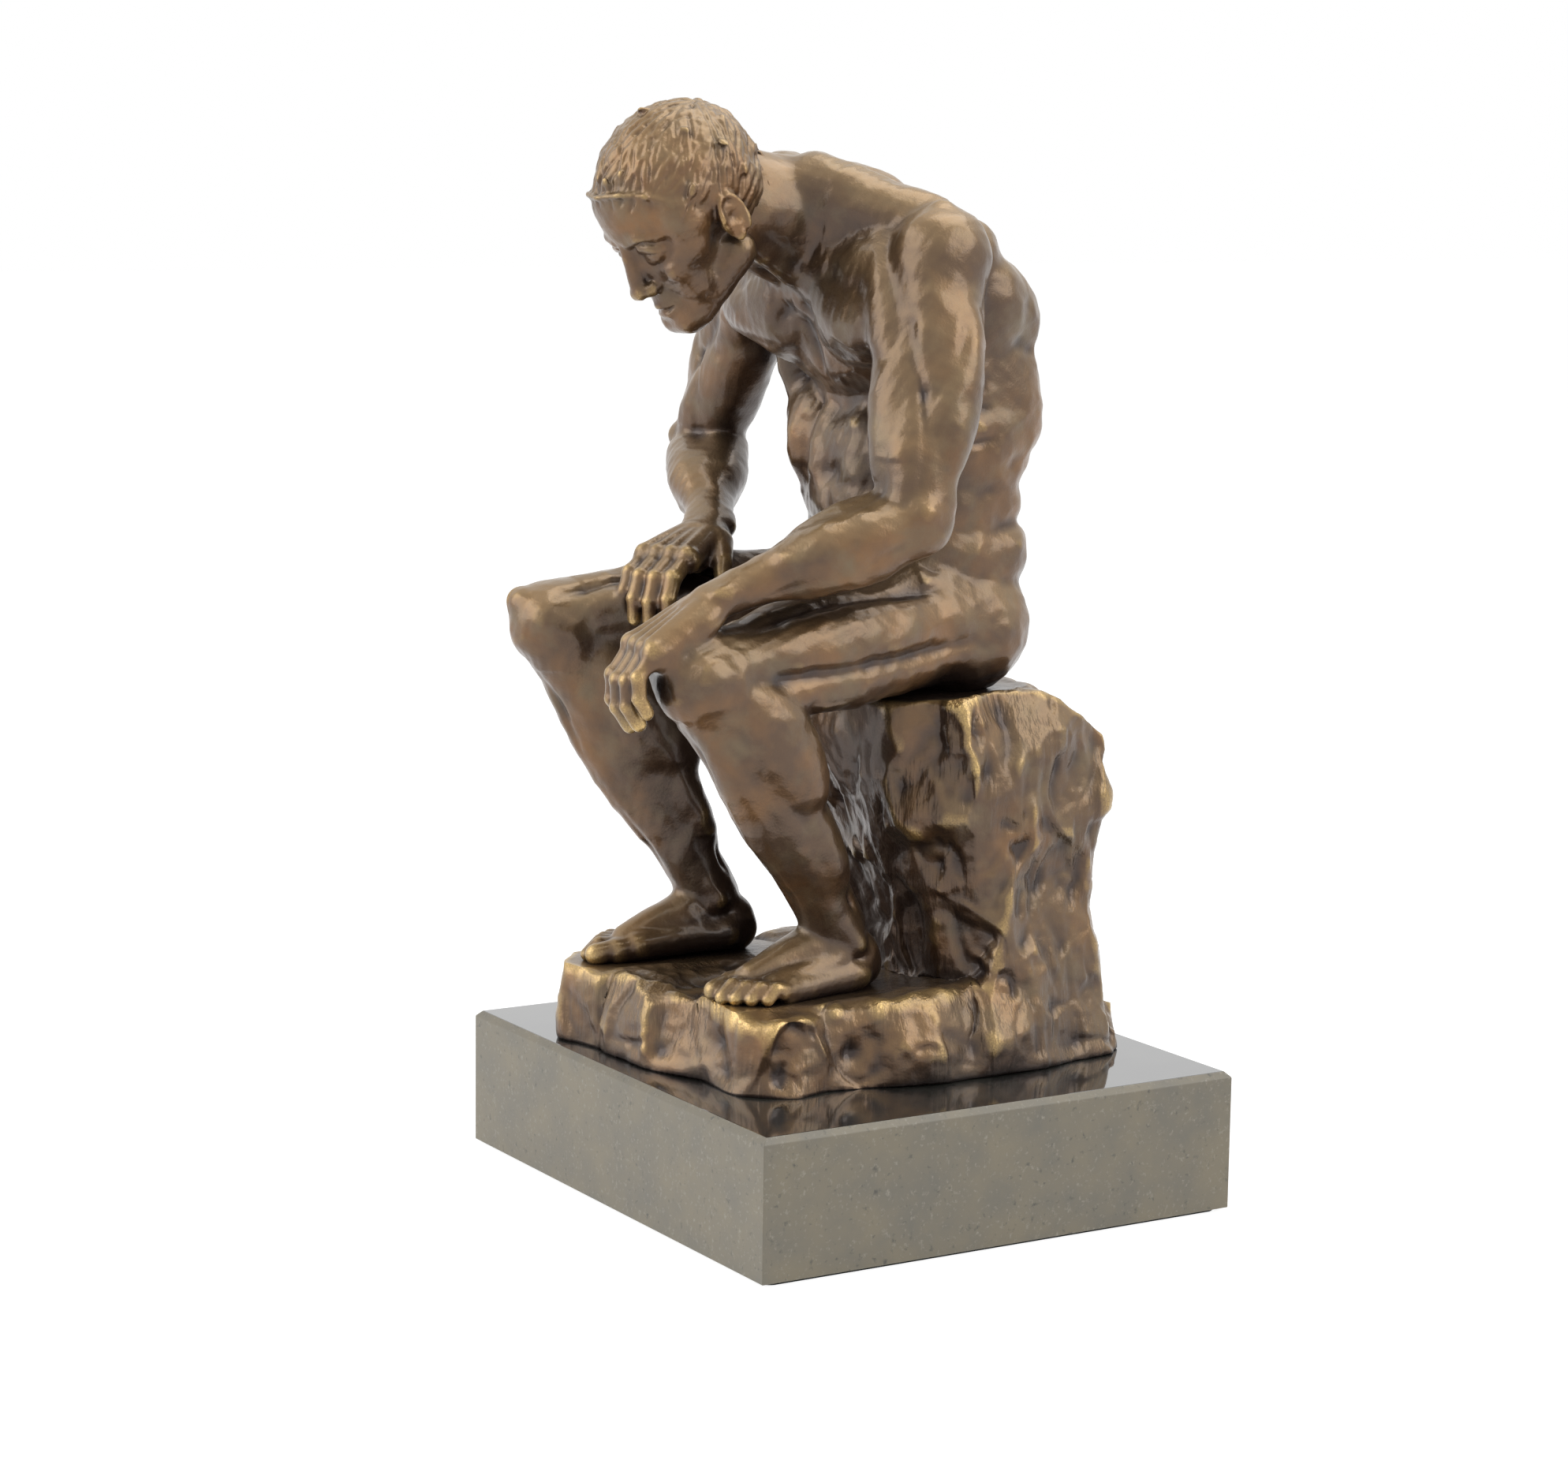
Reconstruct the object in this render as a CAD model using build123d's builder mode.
from build123d import *

import os
from math import cos, radians, sin, sqrt, tau

# A seated bronze figure on a rock, bolted to a polished stone slab.
# Lengths are in millimetres and angles in degrees. +Z is up, the figure faces -Y and its left is +X.
# The origin is the middle of the felt's underside, on the surface that the piece stands on.

# Stone slab
slab_width = 153.0
slab_depth = 140.0
slab_height = 36.0
slab_chamfer = 1.5

# Felt under the slab
felt_thickness = 1.0
felt_inset = 2.0
felt_corner_radius = 3.0

# Two socket head screws that hold the bronze down, and their washers
screw_spacing = 50.0
screw_row_setback = 24.0
screw_diameter = 6.0
screw_length = 30.0
screw_head_diameter = 10.0
screw_head_height = 6.0
socket_across_flats = 5.0
socket_depth = 3.0
washer_diameter = 12.0
washer_thickness = 1.6
washer_clearance = 0.2
counterbore_diameter = 14.0
counterbore_depth = 12.0
screw_hole_clearance = 0.3
thread_clearance = 0.05

# Bar welded across the underside of the rock, tapped for the screws
bar_width = 14.0
bar_thickness = 8.0
bar_lift = 1.0

# Rock: a low mound with a seat block rising behind, cast as one open shell
rock_wall = 3.2
block_height = 95.0
block_half_width = 49.0
block_front_reach = 38.0
block_back_reach = 39.0
block_setback = 26.0
mound_height = 20.0
mound_half_width = 51.0
mound_front_reach = 62.0
mound_back_reach = 66.0
mound_setback = 0.0

# Outline of each rock mass, seen from above, as shares of its reaches
block_outline_shares = [
    (0.72, -0.94),
    (1.00, -0.52),
    (0.97, 0.24),
    (0.90, 0.80),
    (0.42, 1.00),
    (-0.38, 0.95),
    (-0.88, 0.72),
    (-1.00, -0.06),
    (-0.90, -0.70),
    (-0.20, -1.00),
]
mound_outline_shares = [
    (0.10, -0.98),
    (0.59, -0.79),
    (0.88, -0.50),
    (1.00, -0.06),
    (0.99, 0.42),
    (0.91, 0.82),
    (0.56, 1.00),
    (-0.42, 0.98),
    (-0.90, 0.74),
    (-1.00, 0.18),
    (-0.98, -0.36),
    (-0.88, -0.76),
    (-0.34, -1.00),
]
# Height, width, front reach and back reach of each rock mass at each level
block_level_shares = [
    (0.00, 0.98, 0.60, 1.00),
    (0.24, 0.97, 0.52, 0.92),
    (0.48, 0.93, 0.64, 0.84),
    (0.72, 1.00, 0.86, 0.98),
    (0.90, 0.97, 0.97, 0.74),
    (1.00, 0.88, 0.96, 0.40),
]
mound_level_shares = [
    (0.00, 1.00, 1.00, 1.00),
    (0.42, 1.02, 0.99, 0.99),
    (1.00, 0.92, 0.95, 0.90),
]

# Skeleton of the figure
hip_spread = 19.5
hip_setback = 18.0
hip_above_seat = 19.0
thigh_length = 86.0
shank_length = 87.0
ankle_above_sole = 15.0
left_ankle_side = 22.0
left_ankle_setback = -17.0
right_ankle_side = 32.0
right_ankle_setback = -23.0
left_toe_turn = 6.0
right_toe_turn = 14.0
foot_length = 52.0
heel_overhang = 13.5
loin_length = 29.0
rib_length = 29.0
chest_length = 32.0
collar_length = 22.0
neck_length = 26.0
loin_lean = -8.0
rib_lean = -3.0
chest_lean = 28.0
collar_lean = 52.0
neck_lean = 75.0
head_bow = 38.0
shoulder_spread = 39.0
shoulder_setback = 8.0
shoulder_drop = 9.0
upper_arm_length = 64.0
forearm_length = 54.0
hand_length = 40.0
head_height = 48.0
head_above_neck = 8.0
head_before_neck = 11.0

# Girths of the figure
hip_half_width = 36.0
chest_half_width = 37.0
torso_half_depth = 21.0
thigh_radius = 18.5
knee_radius = 13.0
calf_radius = 15.0
upper_arm_radius = 12.8
forearm_radius = 11.2
neck_radius = 14.0
palm_half_width = 9.0
palm_half_thickness = 3.6
finger_radius = 2.0
toe_radius = 2.3
foot_half_width = 10.4
head_half_width = 17.0
head_half_depth = 21.5
ear_half_length = 4.6
ear_half_height = 6.4
ear_standout = 2.2

# Torso: place along the spine in bones from the pelvis, then half width, depth and shift as shares
torso_section_shares = [
    (-0.95, 0.82, 0.87, -0.05),
    (-0.30, 0.95, 0.98, -0.08),
    (0.35, 0.94, 0.94, -0.08),
    (1.00, 0.86, 0.87, -0.01),
    (1.50, 0.93, 0.98, -0.02),
    (2.00, 1.01, 1.09, -0.05),
    (2.50, 1.04, 1.09, -0.05),
    (3.00, 0.99, 0.97, -0.05),
    (3.50, 0.81, 0.79, -0.05),
    (4.00, 0.49, 0.65, -0.03),
]
# Limbs: place along the bone, radius and shift to the front, as shares of the bone and of its girth
thigh_section_shares = [
    (-0.13, 0.37, -0.03),
    (-0.06, 0.82, -0.04),
    (0.10, 1.02, -0.02),
    (0.34, 1.00, 0.03),
    (0.70, 0.83, 0.03),
    (1.00, 0.66, 0.02),
    (1.09, 0.53, 0.04),
    (1.13, 0.28, 0.03),
]
shank_section_shares = [
    (-0.12, 0.35, 0.00),
    (-0.06, 0.72, 0.06),
    (0.03, 0.92, 0.04),
    (0.16, 0.95, -0.11),
    (0.34, 1.02, -0.23),
    (0.58, 0.80, -0.13),
    (0.82, 0.58, -0.05),
    (1.00, 0.58, -0.02),
    (1.06, 0.40, -0.01),
]
upper_arm_section_shares = [
    (-0.21, 0.34, -0.02),
    (-0.15, 0.79, -0.02),
    (-0.02, 1.12, -0.03),
    (0.20, 1.14, -0.01),
    (0.66, 0.94, 0.03),
    (1.00, 0.76, -0.02),
    (1.09, 0.60, -0.03),
    (1.13, 0.33, -0.02),
]
forearm_section_shares = [
    (-0.14, 0.36, -0.01),
    (-0.07, 0.70, -0.02),
    (0.03, 0.86, -0.01),
    (0.22, 0.97, -0.01),
    (0.50, 0.85, 0.01),
    (0.80, 0.60, 0.01),
    (1.00, 0.54, 0.01),
]
# Foot: place from heel to ball, half width and height, as shares of length, half width and ankle height
foot_section_shares = [
    (0.00, 0.34, 0.46),
    (0.06, 0.58, 0.86),
    (0.18, 0.70, 1.18),
    (0.34, 0.74, 1.26),
    (0.52, 0.86, 0.90),
    (0.70, 1.02, 0.52),
    (0.82, 0.98, 0.34),
]
toe_root_share = 0.74
toe_lift_share = 0.80
# Toes: place across the foot, thickness and tip, as shares of half width, toe radius and length
toe_shares = [
    (0.62, 1.35, 1.00),
    (0.17, 0.98, 0.99),
    (-0.16, 0.94, 0.96),
    (-0.48, 0.90, 0.92),
    (-0.77, 0.86, 0.87),
]
# Neck: place from the collar to the skull, radius and shift to the front, as shares
neck_section_shares = [
    (0.00, 1.05, -0.04),
    (0.40, 0.98, -0.02),
    (1.00, 0.95, 0.00),
    (1.50, 0.91, 0.02),
]
# Head: height above the chin, girth and shift to the front, as shares
head_section_shares = [
    (0.00, 0.37, 0.49),
    (0.07, 0.56, 0.41),
    (0.22, 0.77, 0.19),
    (0.40, 0.92, 0.02),
    (0.58, 1.02, -0.11),
    (0.76, 1.00, -0.18),
    (0.91, 0.79, -0.19),
    (1.00, 0.36, -0.16),
]
# Nose, from brow to tip: height above the chin, half width and reach from the head's middle, as shares
nose_section_shares = [(0.34, 0.20, 1.10), (0.38, 0.24, 1.20), (0.50, 0.14, 1.04), (0.58, 0.12, 0.94)]
# Ear: height of its middle, and how far behind the head's middle, as shares
ear_place_shares = (0.46, 0.12)
# Fingers: place across the palm, and reach, as shares of half width and hand length
finger_shares = [(0.76, 0.92), (0.27, 1.00), (-0.24, 0.96), (-0.74, 0.80)]
palm_length_share = 0.52
finger_root_share = 0.70
finger_joint_share = 0.45
finger_taper_share = 0.78
finger_bend = 38.0
thumb_root_share = 0.25
thumb_side_share = 0.55
thumb_spread_share = 0.55
thumb_length = 17.0
thumb_radius = 2.6
palm_section_shares = [(0.00, 0.72, 1.30), (0.35, 0.90, 1.25), (0.80, 1.06, 1.05), (1.12, 1.00, 0.80)]

# Ways that the knees and elbows point: out, forward or back, and up or down
knee_pole_shares = (0.20, 0.80, 0.60)
left_elbow_pole_shares = (0.50, 0.60, 0.62)
right_elbow_pole_shares = (0.84, 0.24, 0.42)
# Where the wrist rests along the thigh, how far above it, and the hand's droop and outward turn
left_wrist_from_hip = 80.0
left_wrist_lift = 5.5
left_hand_droop = 33.0
left_hand_turn = -8.0
right_wrist_from_hip = 43.0
right_wrist_lift = 6.0
right_hand_droop = 16.0
right_hand_turn = -26.0

# Corner counts of the sections of body parts, of feet, palms and ears, and of fingers and toes
body_corners = 24
small_corners = 16
finger_corners = 6

# Named places that everything else follows
slab_underside = felt_thickness
slab_top = slab_underside + slab_height
seat_level = slab_top + block_height
sole_level = slab_top + mound_height
UP = Vector(0, 0, 1)
FRONT = Vector(0, -1, 0)
LEFT = Vector(1, 0, 0)


def lean(angle):
    """The way a body part points when it leans forward from upright by an angle."""
    return UP * cos(radians(angle)) + FRONT * sin(radians(angle))


def middle_joint(root, tip, first, second, pole):
    """The knee or elbow of two bones between root and tip, on the side that pole points to."""
    way = tip - root
    span = way.length
    way = way.normalized()
    along = (first**2 - second**2 + span**2) / (2 * span)
    out = sqrt(first**2 - along**2)
    side = (pole - way * pole.dot(way)).normalized()
    return root + way * along + side * out


def section_plane(place, along, front):
    """A plane across a bone: its local y is the front of the body part, its local x is one side."""
    along = along.normalized()
    side = front.cross(along).normalized()
    return Plane(origin=place, x_dir=side, z_dir=along)


def square_to(direction, along):
    """The part of a direction that is square to a bone."""
    along = along.normalized()
    return (direction - along * along.dot(direction)).normalized()


def ring_points(count, half_width, front_depth, back_depth, shift=0):
    """Corners of a rounded section, whose front and back may differ, moved to the front by shift."""
    points = []
    for step in range(count):
        turn = tau * (step + 1 / 2) / count
        depth = front_depth if sin(turn) > 0 else back_depth
        points.append((half_width * cos(turn), shift + depth * sin(turn)))
    return points


def outline(plane, corners):
    """Corners drawn on a plane, as places in space."""
    return [plane.from_local_coords((across, ahead, 0)) for across, ahead in corners]


def facet_loft(outlines):
    """A solid whose skin joins each outline to the next with flat facets."""
    faces = [Face(Wire.make_polygon(outlines[0])), Face(Wire.make_polygon(outlines[-1]))]
    for low, high in zip(outlines, outlines[1:]):
        for corner in range(len(low)):
            other = (corner + 1) % len(low)
            faces.append(Face(Wire.make_polygon([low[corner], low[other], high[other]])))
            faces.append(Face(Wire.make_polygon([low[corner], high[other], high[corner]])))
    return Solid(Shell(faces))


def body_section(plane, half_width, half_depth, shift):
    """A section of a limb, the neck, the head or the torso."""
    return outline(plane, ring_points(body_corners, half_width, half_depth, half_depth, shift))


def small_section(plane, half_width, front_depth, back_depth):
    """A section of a foot, a palm or an ear."""
    return outline(plane, ring_points(small_corners, half_width, front_depth, back_depth))


def finger_section(plane, radius):
    """A six-sided section of a finger or toe."""
    return outline(plane, ring_points(finger_corners, radius, radius, radius))


def bone_sections(root, tip, front, girth, shares):
    """Sections along one bone, from root to tip."""
    along = tip - root
    sections = []
    for place, size, shift in shares:
        plane = section_plane(root + along * place, along, front)
        sections.append(body_section(plane, girth * size, girth * size, girth * shift))
    return sections


def rock_sections(corner_shares, level_shares, height, half_width, front_reach, back_reach, setback, inset):
    """Stacked outlines of one rock mass, drawn in by inset on every side and at the top."""
    sections = []
    for level, width, front, back in level_shares:
        corners = []
        for across, behind in corner_shares:
            reach = back_reach * back if behind > 0 else front_reach * front
            corners.append((across * (half_width * width - inset), setback + behind * (reach - inset)))
        sections.append(outline(Plane.XY.offset(slab_top + level * (height - inset)), corners))
    return sections


def block_sections(inset):
    return rock_sections(
        block_outline_shares,
        block_level_shares,
        block_height,
        block_half_width,
        block_front_reach,
        block_back_reach,
        block_setback,
        inset,
    )


def mound_sections(inset):
    return rock_sections(
        mound_outline_shares,
        mound_level_shares,
        mound_height,
        mound_half_width,
        mound_front_reach,
        mound_back_reach,
        mound_setback,
        inset,
    )


# Joints of the figure
pelvis = Vector(0, hip_setback, seat_level + hip_above_seat)
waist = pelvis + lean(loin_lean) * loin_length
ribs = waist + lean(rib_lean) * rib_length
chest = ribs + lean(chest_lean) * chest_length
collar = chest + lean(collar_lean) * collar_length
skull_base = collar + lean(neck_lean) * neck_length
head_up = lean(head_bow)
head_front = LEFT.cross(head_up)
head_middle = skull_base + head_up * head_above_neck + head_front * head_before_neck


def spine_plane(place):
    """A section plane across the spine, whose lean blends from each bone to the next."""
    joints = [pelvis, waist, ribs, chest, collar]
    leans = [0, loin_lean, rib_lean, chest_lean, collar_lean, neck_lean]
    bone = min(max(int(place), 0), len(joints) - 2)
    middle = joints[bone] + (joints[bone + 1] - joints[bone]) * (place - bone)
    step = min(max(place + 1 / 2, 0), len(leans) - 1)
    below = int(step)
    blended = leans[below] + (leans[min(below + 1, len(leans) - 1)] - leans[below]) * (step - below)
    return section_plane(middle, lean(blended), square_to(FRONT, lean(blended)))


def leg_joints(side, ankle_side, ankle_setback):
    """Hip, knee and ankle of one leg. Side is 1 for the left leg and -1 for the right."""
    hip = pelvis + LEFT * side * hip_spread
    ankle = Vector(side * ankle_side, ankle_setback, sole_level + ankle_above_sole)
    pole = LEFT * side * knee_pole_shares[0] + FRONT * knee_pole_shares[1] + UP * knee_pole_shares[2]
    return hip, middle_joint(hip, ankle, thigh_length, shank_length, pole), ankle


def arm_joints(side, hip, knee, wrist_from_hip, wrist_lift, droop, turn, pole_shares):
    """Shoulder, elbow, wrist and knuckles of one arm that rests on a thigh."""
    shoulder = collar + LEFT * side * shoulder_spread - FRONT * shoulder_setback - UP * shoulder_drop
    thigh = knee - hip
    towards_knee = wrist_from_hip / thigh_length
    lift = knee_radius + (thigh_radius - knee_radius) * (1 - towards_knee) + wrist_lift
    wrist = hip + thigh * towards_knee + square_to(UP, thigh) * lift
    heading = (FRONT * cos(radians(droop)) - UP * sin(radians(droop))).rotate(Axis.Z, side * turn)
    knuckles = wrist + heading * hand_length * palm_length_share
    pole = LEFT * side * pole_shares[0] - FRONT * pole_shares[1] - UP * pole_shares[2]
    elbow = middle_joint(shoulder, wrist, upper_arm_length, forearm_length, pole)
    return shoulder, elbow, wrist, knuckles


left_hip, left_knee, left_ankle = leg_joints(1, left_ankle_side, left_ankle_setback)
right_hip, right_knee, right_ankle = leg_joints(-1, right_ankle_side, right_ankle_setback)
left_arm = arm_joints(
    1,
    left_hip,
    left_knee,
    left_wrist_from_hip,
    left_wrist_lift,
    left_hand_droop,
    left_hand_turn,
    left_elbow_pole_shares,
)
right_arm = arm_joints(
    -1,
    right_hip,
    right_knee,
    right_wrist_from_hip,
    right_wrist_lift,
    right_hand_droop,
    right_hand_turn,
    right_elbow_pole_shares,
)


# Felt sheet, glued under the slab
with BuildPart() as felt_sheet:
    with BuildSketch():
        RectangleRounded(slab_width - 2 * felt_inset, slab_depth - 2 * felt_inset, felt_corner_radius)
        with Locations((0, screw_row_setback)):
            with GridLocations(screw_spacing, 0, 2, 1):
                Circle(counterbore_diameter / 2, mode=Mode.SUBTRACT)
    extrude(amount=felt_thickness)

# Stone slab: bevelled top edge, and two counterbored holes from below
with BuildPart() as marble_slab:
    with BuildSketch(Plane.XY.offset(slab_underside)):
        Rectangle(slab_width, slab_depth)
    extrude(amount=slab_height)
    top_face = marble_slab.faces().sort_by(Axis.Z)[-1]
    chamfer(top_face.edges(), slab_chamfer)
    with Locations(Plane(origin=(0, screw_row_setback, slab_underside), x_dir=LEFT, z_dir=-UP)):
        with GridLocations(screw_spacing, 0, 2, 1):
            CounterBoreHole(
                radius=screw_diameter / 2 + screw_hole_clearance,
                counter_bore_radius=counterbore_diameter / 2,
                counter_bore_depth=counterbore_depth,
            )

# Solid outline of the rock, which the figure is cut to fit
with BuildPart() as rock_outline:
    add(facet_loft(block_sections(0)))
    add(facet_loft(mound_sections(0)))

# Hollow under the rock
with BuildPart() as rock_hollow:
    add(facet_loft(block_sections(rock_wall)))
    add(facet_loft(mound_sections(rock_wall)))

with BuildPart() as rock_casting:
    add(rock_outline.part)
    add(rock_hollow.part, mode=Mode.SUBTRACT)

# Bar welded across the rock's hollow, with two tapped holes
bar_underside = slab_top + bar_lift
bar_top = bar_underside + bar_thickness
with BuildPart() as fixing_bar:
    with BuildSketch(Plane.XY.offset(bar_underside)):
        with Locations((0, screw_row_setback)):
            Rectangle(slab_width, bar_width)
    extrude(amount=bar_thickness)
    add(rock_hollow.part, mode=Mode.INTERSECT)
    with Locations(Plane(origin=(0, screw_row_setback, bar_top))):
        with GridLocations(screw_spacing, 0, 2, 1):
            Hole(radius=screw_diameter / 2 + thread_clearance, depth=bar_thickness)

# Washers and screws, up through the slab into the bar
washer_underside = slab_underside + counterbore_depth - washer_thickness
head_underside = washer_underside - screw_head_height
with BuildPart() as screw_washers:
    with BuildSketch(Plane.XY.offset(washer_underside)):
        with Locations((0, screw_row_setback)):
            with GridLocations(screw_spacing, 0, 2, 1):
                Circle(washer_diameter / 2)
                Circle(screw_diameter / 2 + washer_clearance, mode=Mode.SUBTRACT)
    extrude(amount=washer_thickness)

with BuildPart() as fixing_screws:
    with BuildSketch(Plane.XY.offset(washer_underside)):
        with Locations((0, screw_row_setback)):
            with GridLocations(screw_spacing, 0, 2, 1):
                Circle(screw_diameter / 2)
    extrude(amount=screw_length)
    with BuildSketch(Plane.XY.offset(head_underside)):
        with Locations((0, screw_row_setback)):
            with GridLocations(screw_spacing, 0, 2, 1):
                Circle(screw_head_diameter / 2)
    extrude(amount=screw_head_height)
    with BuildSketch(Plane.XY.offset(head_underside)):
        with Locations((0, screw_row_setback)):
            with GridLocations(screw_spacing, 0, 2, 1):
                RegularPolygon(socket_across_flats / 2, 6, major_radius=False)
    extrude(amount=socket_depth, mode=Mode.SUBTRACT)

# Torso: one loft up the bent spine, with the seat cut flat by the rock
torso_sections = []
for place, width, depth, shift in torso_section_shares:
    girth = hip_half_width if place < 1 else chest_half_width
    torso_sections.append(
        body_section(spine_plane(place), girth * width, torso_half_depth * depth, torso_half_depth * shift)
    )
with BuildPart() as torso_casting:
    add(facet_loft(torso_sections))
    add(rock_outline.part, mode=Mode.SUBTRACT)

# Head and neck, which stand on the flat end of the torso at the collar
chin = head_middle - head_up * head_height / 2
skull_sections = []
for place, size, shift in head_section_shares:
    plane = section_plane(chin + head_up * head_height * place, head_up, head_front)
    skull_sections.append(
        body_section(plane, head_half_width * size, head_half_depth * size, head_half_depth * shift)
    )
neck_sections = []
for place, size, shift in neck_section_shares:
    blended = (collar_lean + neck_lean) / 2 + (neck_lean - collar_lean) / 2 * place
    middle = collar + (skull_base - collar) * place
    plane = section_plane(middle, lean(blended), square_to(FRONT, lean(blended)))
    neck_sections.append(body_section(plane, neck_radius * size, neck_radius * size, neck_radius * shift))
nose_sections = []
for place, width, reach in nose_section_shares:
    plane = section_plane(chin + head_up * head_height * place, head_up, head_front)
    corners = [(head_half_width * width, 0), (0, head_half_depth * reach), (-head_half_width * width, 0)]
    nose_sections.append(outline(plane, corners))
with BuildPart() as head_casting:
    add(facet_loft(neck_sections))
    add(facet_loft(skull_sections))
    add(facet_loft(nose_sections))
    for side in (-1, 1):
        middle = chin + head_up * head_height * ear_place_shares[0]
        middle = middle - head_front * head_half_depth * ear_place_shares[1]
        rim = middle + LEFT * side * (head_half_width + ear_standout)
        inner_plane = section_plane(middle, LEFT, head_up)
        rim_plane = section_plane(rim, LEFT, head_up)
        ear_root = small_section(inner_plane, ear_half_length / 2, ear_half_height / 2, ear_half_height / 2)
        ear_rim = small_section(rim_plane, ear_half_length, ear_half_height, ear_half_height)
        add(facet_loft([ear_root, ear_rim]))


def foot_plane(ankle, heading, from_heel):
    """An upright plane across the foot, on the sole, at a length from the heel."""
    heel = Vector(ankle.X, ankle.Y, sole_level) - heading * heel_overhang
    return section_plane(heel + heading * from_heel, heading, UP)


def toe_sections(ankle, heading, side, across, thickness, tip):
    sections = []
    radius = toe_radius * thickness
    for place in (toe_root_share, tip):
        plane = foot_plane(ankle, heading, foot_length * place)
        middle = plane.from_local_coords((-side * foot_half_width * across, radius * toe_lift_share, 0))
        sections.append(finger_section(section_plane(middle, heading, UP), radius))
    return sections


def build_leg(side, hip, knee, ankle, toe_turn):
    """One leg from groin to toes, added to the part being built."""
    thigh_front = square_to(UP, knee - hip)
    shank_front = square_to(FRONT, ankle - knee)
    add(facet_loft(bone_sections(hip, knee, thigh_front, thigh_radius, thigh_section_shares)))
    add(facet_loft(bone_sections(knee, ankle, shank_front, calf_radius, shank_section_shares)))
    heading = FRONT.rotate(Axis.Z, side * toe_turn)
    foot_sections = []
    for place, width, height in foot_section_shares:
        plane = foot_plane(ankle, heading, foot_length * place)
        foot_sections.append(
            small_section(plane, foot_half_width * width, ankle_above_sole * height, toe_radius)
        )
    add(facet_loft(foot_sections))
    for across, thickness, tip in toe_shares:
        add(facet_loft(toe_sections(ankle, heading, side, across, thickness, tip)))


with BuildPart() as left_leg_casting:
    build_leg(1, left_hip, left_knee, left_ankle, left_toe_turn)
    add(torso_casting.part, mode=Mode.SUBTRACT)
    add(rock_outline.part, mode=Mode.SUBTRACT)

with BuildPart() as right_leg_casting:
    build_leg(-1, right_hip, right_knee, right_ankle, right_toe_turn)
    add(torso_casting.part, mode=Mode.SUBTRACT)
    add(rock_outline.part, mode=Mode.SUBTRACT)


def build_hand(side, wrist, knuckles, back_of_hand):
    """Palm, four fingers and a thumb, added to the part being built."""
    heading = (knuckles - wrist).normalized()
    width_way = section_plane(wrist, heading, back_of_hand).x_dir
    across = width_way * side
    palm_sections = []
    for place, width, thickness in palm_section_shares:
        plane = section_plane(wrist + (knuckles - wrist) * place, heading, back_of_hand)
        depth = palm_half_thickness * thickness
        palm_sections.append(small_section(plane, palm_half_width * width, depth, depth))
    add(facet_loft(palm_sections))
    bent = heading.rotate(Axis(wrist, width_way), finger_bend)
    reach = hand_length * (1 - palm_length_share)
    for place, length in finger_shares:
        root = wrist + (knuckles - wrist) * finger_root_share + across * palm_half_width * place
        middle = knuckles + across * palm_half_width * place + heading * reach * length * finger_joint_share
        tip = middle + bent * reach * length * (1 - finger_joint_share)
        finger_sections = [
            finger_section(section_plane(root, heading, back_of_hand), finger_radius),
            finger_section(section_plane(middle, heading, back_of_hand), finger_radius),
            finger_section(section_plane(tip, bent, back_of_hand), finger_radius * finger_taper_share),
        ]
        add(facet_loft(finger_sections))
    thumb_root = wrist + (knuckles - wrist) * thumb_root_share - across * palm_half_width * thumb_side_share
    thumb_way = (heading - across * thumb_spread_share).normalized()
    thumb_tip = thumb_root + thumb_way * thumb_length
    thumb_sections = [
        finger_section(section_plane(thumb_root, thumb_way, back_of_hand), thumb_radius),
        finger_section(section_plane(thumb_tip, thumb_way, back_of_hand), finger_radius),
    ]
    add(facet_loft(thumb_sections))


def build_arm(side, shoulder, elbow, wrist, knuckles):
    """One arm from shoulder to fingertips, added to the part being built."""
    arm_front = square_to(FRONT, elbow - shoulder)
    add(facet_loft(bone_sections(shoulder, elbow, arm_front, upper_arm_radius, upper_arm_section_shares)))
    forearm_front = square_to(UP, wrist - elbow)
    add(facet_loft(bone_sections(elbow, wrist, forearm_front, forearm_radius, forearm_section_shares)))
    build_hand(side, wrist, knuckles, square_to(UP, knuckles - wrist))


with BuildPart() as left_arm_casting:
    build_arm(1, *left_arm)
    add(torso_casting.part, mode=Mode.SUBTRACT)
    add(left_leg_casting.part, mode=Mode.SUBTRACT)

with BuildPart() as right_arm_casting:
    build_arm(-1, *right_arm)
    add(torso_casting.part, mode=Mode.SUBTRACT)
    add(right_leg_casting.part, mode=Mode.SUBTRACT)

os.makedirs("parts", exist_ok=True)

marble_slab.part.label = "marble_slab"
export_step(marble_slab.part, "parts/marble_slab.step")

felt_sheet.part.label = "felt_sheet"
export_step(felt_sheet.part, "parts/felt_sheet.step")

rock_casting.part.label = "rock_casting"
export_step(rock_casting.part, "parts/rock_casting.step")

fixing_bar.part.label = "fixing_bar"
export_step(fixing_bar.part, "parts/fixing_bar.step")

screw_washers.part.label = "screw_washers"
export_step(screw_washers.part, "parts/screw_washers.step")

fixing_screws.part.label = "fixing_screws"
export_step(fixing_screws.part, "parts/fixing_screws.step")

torso_casting.part.label = "torso_casting"
export_step(torso_casting.part, "parts/torso_casting.step")

head_casting.part.label = "head_casting"
export_step(head_casting.part, "parts/head_casting.step")

left_leg_casting.part.label = "left_leg_casting"
export_step(left_leg_casting.part, "parts/left_leg_casting.step")

right_leg_casting.part.label = "right_leg_casting"
export_step(right_leg_casting.part, "parts/right_leg_casting.step")

left_arm_casting.part.label = "left_arm_casting"
export_step(left_arm_casting.part, "parts/left_arm_casting.step")

right_arm_casting.part.label = "right_arm_casting"
export_step(right_arm_casting.part, "parts/right_arm_casting.step")
